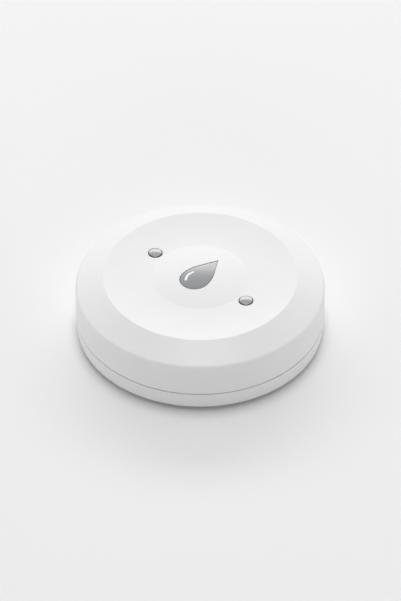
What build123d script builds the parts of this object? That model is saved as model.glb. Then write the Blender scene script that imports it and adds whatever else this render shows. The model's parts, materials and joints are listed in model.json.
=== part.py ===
from build123d import *
from math import atan2, cos, radians, sin, sqrt, tan
import os

os.makedirs("parts", exist_ok=True)

# Lengths are millimetres. The origin is on the floor under the middle of the case, and +Z is up.
# The drop's tip points along +Y, and the probes on the top and on the underside lie along X.

# Clearances
slide_fit = 0.08                # each side of a piece that slides or turns
set_fit = 0.02                  # each side of a piece that is pressed or glued in
axial_gap = 0.05                # above a piece that slides or turns on a face
stand_off = 0.1                 # between a fixed piece and the wall beside it

# Coin cell
cell_radius = 12.25
cell_height = 5.0
can_wall = 0.4
can_height = 4.4
cell_gasket_wall = 0.4
cell_gasket_lip = 0.25          # how far the gasket stands above the can's edge
cell_edge = 0.2                 # chamfer on the can and the cap

# Battery door: a cup round the cell, held by a bayonet
door_plate = 2.25               # thickness under the cell
door_pad = 0.4                  # foam between the door and the cell
door_pad_inset = 2.0            # from the cell's edge to the foam's
cup_gap = 0.25                  # between the cell and the cup
cup_wall = 2.1
flange_lap = 0.7                # how far the flange reaches past the lugs
flange_thickness = 1.45
flange_chamfer = 0.2
ledge_height = 2.5              # height of the ledge that the lugs turn above
lug_count = 3
lug_reach = 1.1
lug_thickness = 1.0
lug_width_deg = 26.0
lug_slack_deg = 2.0             # at each end of a lug, in its entry and in its channel
twist_deg = 30.0                # from locked to free
first_lug_deg = 90.0
cup_rim = 0.6                   # height of the cup above its lugs
door_seal_offset = 0.6          # above the flange
door_seal_width = 1.1
door_seal_depth = 0.9
coin_slot_length = 17.0
coin_slot_width = 1.9
coin_slot_depth = 1.1
mark_size = 1.5                 # lock marks on the door and beside it
mark_ring = 0.25                # width of the ring mark's line
mark_depth = 0.25
mark_deg = 270.0                # where the door's mark stands when it is locked
mark_inset = 2.3                # from the flange's edge to the middle of the door's mark
mark_land = 0.5                 # between the door's pocket and the marks beside it

# Feet and the screws under them
foot_count = 3
first_foot_deg = 90.0
foot_radius = 3.8
foot_stand = 0.75               # height of the underside above the floor
foot_recess = 0.85
foot_edge = 0.3
foot_land = 1.9                 # between the door's pocket and a foot's recess
screw_radius = 1.2
screw_head_radius = 2.1
screw_head_height = 1.3
screw_length = 7.5
screw_drive = 1.6               # width across the cross recess
screw_drive_slot = 0.5
screw_drive_depth = 0.7
screw_head_edge = 0.3
screw_tip_edge = 0.3
screw_pad_radius = 3.4
screw_pad_thickness = 1.6
post_radius = 2.9
post_gap = 0.64                 # between a screw post and the spigot

# Case walls
floor_wall = 2.05
neck_wall = 2.2
side_wall = 2.2
top_wall = 1.6
spigot_wall = 1.9
spigot_height = 2.8
main_seal_offset = 0.9          # above the seam
main_seal_width = 1.2
main_seal_depth = 0.9

# Case shape, outside
seam_height = 4.55              # above the underside
seam_gap = 0.3
seam_depth = 0.4
wall_draft = 0.15               # how far the side wall leans in between the seam and the shoulder
base_draft = 0.3                # how far it leans in between the seam and the underside
base_edge = 0.3
bevel_width = 6.65
bevel_fall = 2.85
bowl_depth = 0.6                # from the rim down to the valley round the dome
bowl_sag = 0.18                 # how far the bowl curves below a straight line
dome_radius = 11.6
dome_rise = 0.75
shoulder_round = 0.9
rim_round = 0.3

# Circuit board and what springs on to the cell
contact_height = 1.0            # between the cell and the board
contact_strip = 0.2
board_thickness = 1.0
board_gap = 0.5                 # between the board and the case round it
board_post_count = 3
first_board_post_deg = 30.0
board_post_radius = 2.2
board_post_inset = 2.0          # between the rim and a board post
board_screw_radius = 0.9
board_screw_head_radius = 1.7
board_screw_head_height = 1.0
board_screw_length = 3.2
minus_leaf_half = 7.0
minus_pad_length = 2.0
minus_tip_half = 1.2
minus_width = 2.4
plus_width = 3.0
plus_pad_length = 3.0
plus_bow = 0.5                  # how far the plus spring bows away from the can
plus_side_deg = 45.0

# Drop-shaped key, its light guide and the switch under it
drop_half_width = 3.55
drop_tip_reach = 8.98           # from the middle of the bulb to the tip
drop_bulb_y = -2.14
drop_tip_half_deg = 27.5
lens_recess = 0.05              # how far the lens lies under the dome
highlight_x = 1.0
highlight_y = -1.7
highlight_radius = 3.15
highlight_start_deg = 152.0
highlight_sweep_deg = 68.0
highlight_width = 0.5
highlight_depth = 0.35
guide_lap = 0.95                # how far the light guide reaches past the drop's tip
guide_thickness = 0.8
stem_radius = 1.3
stem_length = 0.6
gasket_width = 1.0
key_travel = 0.35
switch_side = 4.5
switch_height = 1.6
switch_floor = 0.4
switch_corner = 0.4
plunger_radius = 0.9
plunger_stand = 0.5
plunger_margin = 0.1            # left under the plunger when it is pressed

# Probes on the top: domed pins in the valley beside the dome
probe_head_radius = 1.7
probe_head_stand = 0.35
probe_head_edge = 0.3           # width of the head's sloped rim
probe_crown = 0.12              # how far the domed face falls from its middle to that rim
probe_pocket = 0.35
probe_land = 0.5                # between the dome and a head's pocket
probe_shank_radius = 1.0
probe_boss_radius = 2.2
probe_boss_height = 2.0
probe_seal_drop = 0.5           # from the ceiling down to the seal
probe_seal_width = 0.6
probe_seal_depth = 0.35
probe_tail = 0.4                # how far the shank ends below its boss

# Probes on the underside
low_probe_head_radius = 2.2
low_probe_clear = 0.3           # between the head and the floor
low_probe_rise = 0.35           # height of the head's domed part
low_probe_pocket = 0.65
low_probe_land = 2.6            # between the door's pocket and a head
low_probe_shank_radius = 1.2
low_probe_boss_radius = 2.8
low_probe_boss_height = 4.2
low_probe_seal_rise = 1.4       # from the floor of the case up to the seal
low_clip_height = 0.8

# Clips between the probes and the board
clip_strip = 0.15
clip_length = 2.6
clip_width = 1.8

# Radio on the board: width, depth and height
radio_board_size = (15.0, 9.0, 0.8)
radio_margin = 1.66             # between a screw post and the radio's board
radio_shield_size = (11.5, 7.6, 1.7)
shield_offset = 0.2             # from the middle of the radio's board towards its far edge
shield_wall = 0.2
shield_round = 0.4
antenna_size = (6.5, 2.6, 2.2)
antenna_x = -12.8
antenna_offset = 2.4            # from the middle of the radio's board towards its far edge
antenna_strip = 0.25
antenna_gap = 0.9

# Other pieces on the board: x, y, then width, depth and height
chip_box = (8.6, -8.8, 4.9, 3.9, 1.4)
chip_edge = 0.2
crystal_box = (-8.8, -7.2, 3.2, 1.5, 0.8)
crystal_round = 0.2
inductor_box = (-7.2, -12.2, 3.0, 3.0, 1.4)
inductor_corner = 0.45
inductor_core_radius = 1.1
inductor_core_depth = 0.3
led_box = (0.0, -4.3, 1.6, 0.9, 0.6)
led_lens_radius = 0.35
led_lens_height = 0.15
capacitor_box = (1.6, 0.8, 0.8)
capacitor_places = [(-12.4, -7.2), (-11.9, -10.4), (-3.6, -12.4), (-3.6, -10.6),
                    (12.4, 6.6), (8.6, -12.6)]
resistor_box = (1.0, 0.5, 0.4)
resistor_places = [(4.6, -11.6), (4.6, -10.4), (4.6, -9.2), (12.6, -7.6),
                   (12.6, -8.8), (9.0, 5.2), (6.6, 5.2)]

# Heights, from the floor up
base_z = foot_stand
floor_z = base_z + floor_wall
flange_z = base_z + flange_thickness
ledge_z = flange_z + ledge_height
lug_z = ledge_z + axial_gap
lug_top_z = lug_z + lug_thickness
cup_top_z = lug_top_z + cup_rim
pad_z = base_z + door_plate
cell_z = pad_z + door_pad
cell_top_z = cell_z + cell_height
board_z = cell_top_z + contact_height
board_top_z = board_z + board_thickness
switch_top_z = board_top_z + switch_height
plunger_top_z = switch_top_z + plunger_stand
guide_z = plunger_top_z + stem_length
guide_top_z = guide_z + guide_thickness
ceiling_z = guide_top_z + axial_gap
valley_z = ceiling_z + top_wall
dome_top_z = valley_z + dome_rise
rim_z = valley_z + bowl_depth
shoulder_z = rim_z - bevel_fall
seam_z = base_z + seam_height
spigot_top_z = seam_z + spigot_height
foot_top_z = base_z + foot_recess
screw_seat_z = foot_top_z + screw_head_height + stand_off
screw_pad_z = screw_seat_z + screw_pad_thickness
screw_top_z = screw_seat_z + screw_length
board_screw_top_z = board_z + board_screw_length

# Radii, from the cell outwards
cup_inner = cell_radius + cup_gap
cup_radius = cup_inner + cup_wall
lug_radius = cup_radius + lug_reach
flange_radius = lug_radius + flange_lap
bore_radius = cup_radius + slide_fit
channel_radius = lug_radius + slide_fit
pocket_radius = flange_radius + slide_fit
neck_radius = channel_radius + neck_wall
foot_recess_radius = foot_radius + slide_fit
post_circle = pocket_radius + foot_land + foot_recess_radius
low_probe_circle = pocket_radius + low_probe_land + low_probe_head_radius
spigot_inner = post_circle + post_radius + post_gap
spigot_radius = spigot_inner + spigot_wall
inner_radius = spigot_radius + stand_off
case_radius = inner_radius + side_wall
shoulder_radius = case_radius - wall_draft
rim_radius = shoulder_radius - bevel_width
base_radius = case_radius - base_draft
board_radius = spigot_inner - board_gap
board_post_circle = rim_radius - board_post_radius - board_post_inset
probe_circle = dome_radius + probe_land + probe_head_radius + slide_fit
drop_tip_y = drop_bulb_y + drop_tip_reach
guide_radius = drop_tip_y + guide_lap
radio_y = post_circle - post_radius - radio_margin - radio_board_size[1] / 2
dome_sphere = (dome_radius ** 2 + dome_rise ** 2) / (2 * dome_rise)

flat = (Align.CENTER, Align.CENTER, Align.MIN)
cover_overshoot = rim_z + dome_rise     # a height that is above the whole case
foot_spots = PolarLocations(post_circle, foot_count, start_angle=first_foot_deg)
board_spots = PolarLocations(board_post_circle, board_post_count, start_angle=first_board_post_deg)
probe_spots = PolarLocations(probe_circle, 2)
low_probe_spots = PolarLocations(low_probe_circle, 2)


def dome_height(radius, sink=0.0):
    """Height of the dome's surface at a radius, sunk by a given depth."""
    return dome_top_z - dome_sphere + sqrt(dome_sphere ** 2 - radius ** 2) - sink


def drop_face(grow=0.0):
    """Outline of a drop with its tip towards +Y, grown outwards all round."""
    lean = radians(drop_tip_half_deg)
    half_width = drop_half_width + grow
    reach = drop_tip_reach + grow / sin(lean)
    side_radius = (reach * tan(lean) - half_width) / (1 / cos(lean) - 1)

    def on_side(angle):
        across = half_width - side_radius * (1 - cos(angle))
        return across, drop_bulb_y + side_radius * sin(angle)

    with BuildSketch() as face:
        with BuildLine():
            Line((0, drop_bulb_y + reach), on_side(lean))
            ThreePointArc(on_side(lean), on_side(lean / 2), on_side(0))
            mirror(about=Plane.YZ)
            ThreePointArc(on_side(0), (0, drop_bulb_y - half_width), (-half_width, drop_bulb_y))
        make_face()
    return face.sketch


def sector_face(inner, outer, middle_deg, width_deg):
    """A stretch of a flat ring about the origin."""
    start_deg = middle_deg - width_deg / 2
    with BuildSketch() as face:
        with BuildLine():
            far = CenterArc((0, 0), outer, start_deg, width_deg)
            near = CenterArc((0, 0), inner, start_deg, width_deg)
            Line(far @ 0, near @ 0)
            Line(far @ 1, near @ 1)
        make_face()
    return face.sketch


def under_dome(sink=0.0):
    """The space under the dome's surface, down to the ceiling of the case."""
    half = dome_radius / 2
    with BuildPart() as space:
        with BuildSketch(Plane.XZ):
            with BuildLine():
                Line((0, floor_z), (0, dome_height(0, sink)))
                ThreePointArc((0, dome_height(0, sink)), (half, dome_height(half, sink)),
                              (dome_radius, dome_height(dome_radius, sink)))
                Line((dome_radius, dome_height(dome_radius, sink)), (dome_radius, floor_z))
                Line((dome_radius, floor_z), (0, floor_z))
            make_face()
        revolve(axis=Axis.Z)
    return space.part


def pin(points):
    """A turned pin about Z, from its section's corners as (radius, height)."""
    with BuildPart() as turned:
        with BuildSketch(Plane.XZ):
            with BuildLine():
                Polyline(*points, close=True)
            make_face()
        revolve(axis=Axis.Z)
    return turned.part


def screw(radius, head_radius, head_height, length, seat_z):
    """A pan-head screw that points up, with its head under seat_z."""
    with BuildPart() as made:
        with BuildSketch(Plane.XY.offset(seat_z - head_height)):
            Circle(head_radius)
        extrude(amount=head_height)
        chamfer(made.edges().group_by(Axis.Z)[0], length=screw_head_edge)
        with BuildSketch(Plane.XY.offset(seat_z)):
            Circle(radius)
        extrude(amount=length)
        chamfer(made.edges().group_by(Axis.Z)[-1], length=screw_tip_edge)
        with BuildSketch(Plane.XY.offset(seat_z - head_height)):
            Rectangle(screw_drive, screw_drive_slot)
            Rectangle(screw_drive_slot, screw_drive)
        extrude(amount=screw_drive_depth, mode=Mode.SUBTRACT)
    return made.part


def spring_clip(low_z, high_z):
    """A folded strip that stands on one face and presses on another."""
    half = clip_length / 2 - clip_strip / 2
    bottom = low_z + clip_strip / 2
    top = high_z - clip_strip / 2
    with BuildPart() as clip:
        with BuildSketch(Plane.XZ):
            with BuildLine():
                Polyline((half, bottom), (-half, bottom), (-half, top), (half, top))
                offset(amount=clip_strip / 2, side=Side.BOTH, kind=Kind.INTERSECTION)
            make_face()
        extrude(amount=clip_width / 2, both=True)
    return clip.part


def on_board(box):
    """A plain block that stands on the board."""
    across, along, width, depth, height = box
    with BuildPart() as made:
        with Locations((across, along, board_top_z)):
            Box(width, depth, height, align=flat)
    return made.part


# Top cover: a shallow bowl with a low dome in it, inside a bevelled rim
bevel = atan2(bevel_fall, bevel_width)
bevel_wall = side_wall / cos(bevel)
inner_corner_z = shoulder_z + (shoulder_radius - inner_radius) * tan(bevel) - bevel_wall
ceiling_edge = shoulder_radius - (ceiling_z + bevel_wall - shoulder_z) / tan(bevel)
bowl_middle = (rim_radius + dome_radius) / 2
bowl_middle_z = (rim_z + valley_z) / 2 - bowl_sag

with BuildPart() as top_cover:
    with BuildSketch(Plane.XZ) as cover_section:
        with BuildLine():
            Polyline((case_radius, seam_z), (shoulder_radius, shoulder_z), (rim_radius, rim_z))
            ThreePointArc((rim_radius, rim_z), (bowl_middle, bowl_middle_z), (dome_radius, valley_z))
            ThreePointArc((dome_radius, valley_z), (dome_radius / 2, dome_height(dome_radius / 2)),
                          (0, dome_top_z))
            Polyline((0, dome_top_z), (0, ceiling_z), (ceiling_edge, ceiling_z),
                     (inner_radius, inner_corner_z), (inner_radius, seam_z), (case_radius, seam_z))
        make_face()
        fillet(cover_section.vertices().sort_by_distance((shoulder_radius, shoulder_z))[0], shoulder_round)
        fillet(cover_section.vertices().sort_by_distance((rim_radius, rim_z))[0], rim_round)
    revolve(axis=Axis.Z)
    # Posts for the case screws and the board, and a boss round each probe
    with BuildSketch(Plane.XY.offset(screw_pad_z)):
        with foot_spots:
            Circle(post_radius)
    extrude(amount=ceiling_z - screw_pad_z)
    with BuildSketch(Plane.XY.offset(board_top_z)):
        with board_spots:
            Circle(board_post_radius)
    extrude(amount=ceiling_z - board_top_z)
    with BuildSketch(Plane.XY.offset(ceiling_z - probe_boss_height)):
        with probe_spots:
            Circle(probe_boss_radius)
    extrude(amount=probe_boss_height)
    # Bores for the screws, and the openings for the probes and the key
    with BuildSketch(Plane.XY.offset(screw_pad_z)):
        with foot_spots:
            Circle(screw_radius + set_fit)
    extrude(amount=screw_top_z + stand_off - screw_pad_z, mode=Mode.SUBTRACT)
    with BuildSketch(Plane.XY.offset(board_top_z)):
        with board_spots:
            Circle(board_screw_radius + set_fit)
    extrude(amount=board_screw_top_z + stand_off - board_top_z, mode=Mode.SUBTRACT)
    with BuildSketch(Plane.XY.offset(ceiling_z - probe_boss_height)):
        with probe_spots:
            Circle(probe_shank_radius + set_fit)
    extrude(amount=cover_overshoot, mode=Mode.SUBTRACT)
    with BuildSketch(Plane.XY.offset(valley_z - probe_pocket)):
        with probe_spots:
            Circle(probe_head_radius + slide_fit)
    extrude(amount=cover_overshoot, mode=Mode.SUBTRACT)
    with BuildSketch(Plane.XY.offset(ceiling_z)):
        add(drop_face(slide_fit))
    extrude(amount=cover_overshoot, mode=Mode.SUBTRACT)
top_cover.part.label = "top_cover"
export_step(top_cover.part, "parts/top_cover.step")

# Base cover: floor, side wall, the spigot that plugs into the top cover, and the door's neck
with BuildPart() as base_cover:
    with BuildSketch(Plane.XZ) as base_section:
        with BuildLine():
            Polyline((0, base_z), (base_radius, base_z), (case_radius, seam_z - seam_gap),
                     (case_radius - seam_depth, seam_z - seam_gap), (case_radius - seam_depth, seam_z),
                     (spigot_radius, seam_z), (spigot_radius, spigot_top_z), (spigot_inner, spigot_top_z),
                     (spigot_inner, floor_z), (0, floor_z), close=True)
        make_face()
        fillet(base_section.vertices().sort_by_distance((base_radius, base_z))[0], base_edge)
    revolve(axis=Axis.Z)
    with BuildSketch(Plane.XY.offset(seam_z + main_seal_offset)):
        Circle(case_radius)
        Circle(spigot_radius - main_seal_depth, mode=Mode.SUBTRACT)
    extrude(amount=main_seal_width, mode=Mode.SUBTRACT)
    # Neck round the door, pads for the screws and bosses round the lower probes
    with BuildSketch(Plane.XY.offset(floor_z)):
        Circle(neck_radius)
    extrude(amount=cup_top_z - floor_z)
    with BuildSketch(Plane.XY.offset(floor_z)):
        with foot_spots:
            Circle(screw_pad_radius)
    extrude(amount=screw_pad_z - floor_z)
    with BuildSketch(Plane.XY.offset(floor_z)):
        with low_probe_spots:
            Circle(low_probe_boss_radius)
    extrude(amount=low_probe_boss_height)
    # The door's pocket, its bore, and an entry and a channel for each lug
    with BuildSketch(Plane.XY.offset(base_z)):
        Circle(pocket_radius)
    extrude(amount=flange_thickness + axial_gap, mode=Mode.SUBTRACT)
    with BuildSketch(Plane.XY.offset(base_z)):
        Circle(bore_radius)
    extrude(amount=cup_top_z - base_z, mode=Mode.SUBTRACT)
    entry_deg = lug_width_deg + 2 * lug_slack_deg
    with BuildSketch(Plane.XY.offset(base_z)):
        with PolarLocations(0, lug_count, start_angle=first_lug_deg - twist_deg):
            add(sector_face(cup_inner, channel_radius, 0, entry_deg))
    extrude(amount=ledge_z - base_z, mode=Mode.SUBTRACT)
    with BuildSketch(Plane.XY.offset(ledge_z)):
        with PolarLocations(0, lug_count, start_angle=first_lug_deg - twist_deg / 2):
            add(sector_face(cup_inner, channel_radius, 0, entry_deg + twist_deg))
    extrude(amount=cup_top_z - ledge_z, mode=Mode.SUBTRACT)
    # Recesses and holes for the feet, the screws and the lower probes
    with BuildSketch(Plane.XY.offset(base_z)):
        with foot_spots:
            Circle(foot_recess_radius)
    extrude(amount=foot_recess, mode=Mode.SUBTRACT)
    with BuildSketch(Plane.XY.offset(base_z)):
        with foot_spots:
            Circle(screw_head_radius + stand_off)
    extrude(amount=screw_seat_z - base_z, mode=Mode.SUBTRACT)
    with BuildSketch(Plane.XY.offset(base_z)):
        with foot_spots:
            Circle(screw_radius + stand_off)
    extrude(amount=screw_pad_z - base_z, mode=Mode.SUBTRACT)
    with BuildSketch(Plane.XY.offset(base_z)):
        with low_probe_spots:
            Circle(low_probe_head_radius + slide_fit)
    extrude(amount=low_probe_pocket, mode=Mode.SUBTRACT)
    with BuildSketch(Plane.XY.offset(base_z)):
        with low_probe_spots:
            Circle(low_probe_shank_radius + set_fit)
    extrude(amount=floor_wall + low_probe_boss_height, mode=Mode.SUBTRACT)
    # Marks beside the door: a dot where it is locked and a ring where it is free
    mark_circle = pocket_radius + mark_land + mark_size / 2
    with BuildSketch(Plane.XY.offset(base_z)):
        with PolarLocations(mark_circle, 1, start_angle=mark_deg):
            Circle(mark_size / 2 - mark_ring)
        with PolarLocations(mark_circle, 1, start_angle=mark_deg - twist_deg):
            Circle(mark_size / 2)
            Circle(mark_size / 2 - mark_ring, mode=Mode.SUBTRACT)
    extrude(amount=mark_depth, mode=Mode.SUBTRACT)
base_cover.part.label = "base_cover"
export_step(base_cover.part, "parts/base_cover.step")

# Seal between the two covers, in the spigot's groove
with BuildPart() as main_seal:
    with BuildSketch(Plane.XY.offset(seam_z + main_seal_offset + set_fit)):
        Circle(inner_radius - set_fit)
        Circle(spigot_radius - main_seal_depth + set_fit, mode=Mode.SUBTRACT)
    extrude(amount=main_seal_width - 2 * set_fit)
main_seal.part.label = "main_seal"
export_step(main_seal.part, "parts/main_seal.step")

# Screws that hold the two covers together, one above each foot
with BuildPart() as case_screws:
    with foot_spots:
        add(screw(screw_radius, screw_head_radius, screw_head_height, screw_length, screw_seat_z))
case_screws.part.label = "case_screws"
export_step(case_screws.part, "parts/case_screws.step")

# Rubber feet, which cover the screws
with BuildPart() as rubber_feet:
    with BuildSketch():
        with foot_spots:
            Circle(foot_radius)
    extrude(amount=foot_top_z)
    fillet(rubber_feet.edges().group_by(Axis.Z)[0], radius=foot_edge)
rubber_feet.part.label = "rubber_feet"
export_step(rubber_feet.part, "parts/rubber_feet.step")

# Probes on the top: a low polished dome on a rounded rim, over a shank with a seal groove
probe_top_z = valley_z + probe_head_stand
probe_seat_z = valley_z - probe_pocket
probe_end_z = ceiling_z - probe_boss_height - probe_tail
probe_seal_z = ceiling_z - probe_seal_drop - probe_seal_width
probe_face = probe_head_radius - probe_head_edge


def top_probe():
    """One probe of the top, about Z."""
    groove = probe_shank_radius - probe_seal_depth
    with BuildPart() as made:
        with BuildSketch(Plane.XZ):
            with BuildLine():
                ThreePointArc((0, probe_top_z), (probe_face / 2, probe_top_z - probe_crown / 4),
                              (probe_face, probe_top_z - probe_crown))
                Line((probe_face, probe_top_z - probe_crown),
                     (probe_head_radius, valley_z + stand_off))
                Polyline((probe_head_radius, valley_z + stand_off), (probe_head_radius, probe_seat_z),
                         (probe_shank_radius, probe_seat_z),
                         (probe_shank_radius, probe_seal_z + probe_seal_width),
                         (groove, probe_seal_z + probe_seal_width), (groove, probe_seal_z),
                         (probe_shank_radius, probe_seal_z), (probe_shank_radius, probe_end_z),
                         (0, probe_end_z), (0, probe_top_z))
            make_face()
        revolve(axis=Axis.Z)
    return made.part


with BuildPart() as upper_probes:
    with probe_spots:
        add(top_probe())
upper_probes.part.label = "upper_probes"
export_step(upper_probes.part, "parts/upper_probes.step")

with BuildPart() as upper_probe_seals:
    with BuildSketch(Plane.XY.offset(probe_seal_z + set_fit)):
        with probe_spots:
            Circle(probe_shank_radius)
            Circle(probe_shank_radius - probe_seal_depth + set_fit, mode=Mode.SUBTRACT)
    extrude(amount=probe_seal_width - 2 * set_fit)
upper_probe_seals.part.label = "upper_probe_seals"
export_step(upper_probe_seals.part, "parts/upper_probe_seals.step")

with BuildPart() as upper_probe_clips:
    with probe_spots:
        add(spring_clip(board_top_z, probe_end_z))
upper_probe_clips.part.label = "upper_probe_clips"
export_step(upper_probe_clips.part, "parts/upper_probe_clips.step")

# Probes on the underside, which stop just above the floor
low_probe_end_z = board_z - low_clip_height
low_probe_seal_z = floor_z + low_probe_seal_rise
low_groove = low_probe_shank_radius - probe_seal_depth

with BuildPart() as lower_probes:
    with low_probe_spots:
        add(pin([(0, low_probe_clear),
                 (low_probe_head_radius - low_probe_rise, low_probe_clear),
                 (low_probe_head_radius, low_probe_clear + low_probe_rise),
                 (low_probe_head_radius, base_z + low_probe_pocket),
                 (low_probe_shank_radius, base_z + low_probe_pocket),
                 (low_probe_shank_radius, low_probe_seal_z),
                 (low_groove, low_probe_seal_z),
                 (low_groove, low_probe_seal_z + probe_seal_width),
                 (low_probe_shank_radius, low_probe_seal_z + probe_seal_width),
                 (low_probe_shank_radius, low_probe_end_z),
                 (0, low_probe_end_z)]))
lower_probes.part.label = "lower_probes"
export_step(lower_probes.part, "parts/lower_probes.step")

with BuildPart() as lower_probe_seals:
    with BuildSketch(Plane.XY.offset(low_probe_seal_z + set_fit)):
        with low_probe_spots:
            Circle(low_probe_shank_radius)
            Circle(low_groove + set_fit, mode=Mode.SUBTRACT)
    extrude(amount=probe_seal_width - 2 * set_fit)
lower_probe_seals.part.label = "lower_probe_seals"
export_step(lower_probe_seals.part, "parts/lower_probe_seals.step")

with BuildPart() as lower_probe_clips:
    with low_probe_spots:
        add(spring_clip(low_probe_end_z, board_z))
lower_probe_clips.part.label = "lower_probe_clips"
export_step(lower_probe_clips.part, "parts/lower_probe_clips.step")

# Circuit board, notched round the screw posts
with BuildPart() as circuit_board:
    with BuildSketch(Plane.XY.offset(board_z)):
        Circle(board_radius)
        with foot_spots:
            Circle(post_radius + board_gap, mode=Mode.SUBTRACT)
        with board_spots:
            Circle(board_screw_radius + stand_off, mode=Mode.SUBTRACT)
    extrude(amount=board_thickness)
circuit_board.part.label = "circuit_board"
export_step(circuit_board.part, "parts/circuit_board.step")

with BuildPart() as board_screws:
    with board_spots:
        add(screw(board_screw_radius, board_screw_head_radius, board_screw_head_height,
                  board_screw_length, board_z))
board_screws.part.label = "board_screws"
export_step(board_screws.part, "parts/board_screws.step")

# Drop-shaped lens in the dome, with the curved highlight let into it
with BuildPart() as drop_lens:
    with BuildSketch(Plane.XY.offset(guide_top_z)):
        add(drop_face())
    extrude(amount=cover_overshoot - guide_top_z)
    add(under_dome(lens_recess), mode=Mode.INTERSECT)
    with BuildSketch(Plane.XY.offset(dome_height(highlight_radius, lens_recess + highlight_depth))):
        stroke = CenterArc((highlight_x, highlight_y), highlight_radius, highlight_start_deg,
                           highlight_sweep_deg, mode=Mode.PRIVATE)
        SlotArc(stroke, highlight_width + 2 * set_fit)
    extrude(amount=dome_rise, mode=Mode.SUBTRACT)
drop_lens.part.label = "drop_lens"
export_step(drop_lens.part, "parts/drop_lens.step")

with BuildPart() as drop_highlight:
    with BuildSketch(Plane.XY.offset(dome_height(highlight_radius, lens_recess + highlight_depth))):
        stroke = CenterArc((highlight_x, highlight_y), highlight_radius, highlight_start_deg,
                           highlight_sweep_deg, mode=Mode.PRIVATE)
        SlotArc(stroke, highlight_width)
    extrude(amount=dome_rise)
    add(under_dome(lens_recess), mode=Mode.INTERSECT)
drop_highlight.part.label = "drop_highlight"
export_step(drop_highlight.part, "parts/drop_highlight.step")

# Light guide: the plate that carries the lens and stops it under the dome, and the stem on the switch
with BuildPart() as light_guide:
    with BuildSketch(Plane.XY.offset(guide_z)):
        Circle(guide_radius)
    extrude(amount=guide_thickness)
    with BuildSketch(Plane.XY.offset(plunger_top_z)):
        Circle(stem_radius)
    extrude(amount=stem_length)
light_guide.part.label = "light_guide"
export_step(light_guide.part, "parts/light_guide.step")

with BuildPart() as key_gasket:
    with BuildSketch(Plane.XY.offset(guide_z)):
        Circle(guide_radius + slide_fit + gasket_width)
        Circle(guide_radius + slide_fit, mode=Mode.SUBTRACT)
    extrude(amount=ceiling_z - guide_z)
key_gasket.part.label = "key_gasket"
export_step(key_gasket.part, "parts/key_gasket.step")

# Switch under the key
with BuildPart() as switch_body:
    with Locations((0, 0, board_top_z)):
        Box(switch_side, switch_side, switch_height, align=flat)
    chamfer(switch_body.edges().filter_by(Axis.Z), length=switch_corner)
    with BuildSketch(Plane.XY.offset(board_top_z + switch_floor)):
        Circle(plunger_radius + slide_fit)
    extrude(amount=switch_height, mode=Mode.SUBTRACT)
switch_body.part.label = "switch_body"
export_step(switch_body.part, "parts/switch_body.step")

plunger_z = board_top_z + switch_floor + key_travel + plunger_margin
with BuildPart() as switch_plunger:
    with BuildSketch(Plane.XY.offset(plunger_z)):
        Circle(plunger_radius)
    extrude(amount=plunger_top_z - plunger_z)
switch_plunger.part.label = "switch_plunger"
export_step(switch_plunger.part, "parts/switch_plunger.step")

# Battery door: a plate with a coin slot, a cup round the cell, and the lugs of the bayonet
with BuildPart() as battery_door:
    with BuildSketch(Plane.XY.offset(base_z)):
        Circle(flange_radius)
    extrude(amount=flange_thickness)
    chamfer(battery_door.edges().group_by(Axis.Z)[0], length=flange_chamfer)
    with BuildSketch(Plane.XY.offset(flange_z)):
        Circle(cup_radius)
    extrude(amount=cup_top_z - flange_z)
    with BuildSketch(Plane.XY.offset(lug_z)):
        with PolarLocations(0, lug_count, start_angle=first_lug_deg):
            add(sector_face(cup_inner, lug_radius, 0, lug_width_deg))
    extrude(amount=lug_thickness)
    with BuildSketch(Plane.XY.offset(pad_z)):
        Circle(cup_inner)
    extrude(amount=cup_top_z - pad_z, mode=Mode.SUBTRACT)
    with BuildSketch(Plane.XY.offset(flange_z + door_seal_offset)):
        Circle(case_radius)
        Circle(cup_radius - door_seal_depth, mode=Mode.SUBTRACT)
    extrude(amount=door_seal_width, mode=Mode.SUBTRACT)
    with BuildSketch(Plane.XY.offset(base_z)):
        SlotOverall(coin_slot_length, coin_slot_width)
    extrude(amount=coin_slot_depth, mode=Mode.SUBTRACT)
    with BuildSketch(Plane.XY.offset(base_z)):
        with PolarLocations(flange_radius - mark_inset, 1, start_angle=mark_deg):
            RegularPolygon(mark_size / 2, 3)
    extrude(amount=mark_depth, mode=Mode.SUBTRACT)
battery_door.part.label = "battery_door"
export_step(battery_door.part, "parts/battery_door.step")

with BuildPart() as door_seal:
    with BuildSketch(Plane.XY.offset(flange_z + door_seal_offset + set_fit)):
        Circle(bore_radius - set_fit)
        Circle(cup_radius - door_seal_depth + set_fit, mode=Mode.SUBTRACT)
    extrude(amount=door_seal_width - 2 * set_fit)
door_seal.part.label = "door_seal"
export_step(door_seal.part, "parts/door_seal.step")

with BuildPart() as cell_pad:
    with BuildSketch(Plane.XY.offset(pad_z)):
        Circle(cell_radius - door_pad_inset)
    extrude(amount=door_pad)
cell_pad.part.label = "cell_pad"
export_step(cell_pad.part, "parts/cell_pad.step")

# Coin cell: the can is the plus side and faces the door, the cap is the minus side
cap_radius = cell_radius - can_wall - cell_gasket_wall

with BuildPart() as cell_can:
    with BuildSketch(Plane.XY.offset(cell_z)):
        Circle(cell_radius)
    extrude(amount=can_height)
    chamfer(cell_can.edges().group_by(Axis.Z)[0], length=cell_edge)
    with BuildSketch(Plane.XY.offset(cell_z + can_wall)):
        Circle(cell_radius - can_wall)
    extrude(amount=can_height, mode=Mode.SUBTRACT)
cell_can.part.label = "cell_can"
export_step(cell_can.part, "parts/cell_can.step")

with BuildPart() as cell_gasket:
    with BuildSketch(Plane.XY.offset(cell_z + can_wall)):
        Circle(cell_radius - can_wall - set_fit)
        Circle(cap_radius, mode=Mode.SUBTRACT)
    extrude(amount=can_height - can_wall + cell_gasket_lip)
cell_gasket.part.label = "cell_gasket"
export_step(cell_gasket.part, "parts/cell_gasket.step")

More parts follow.
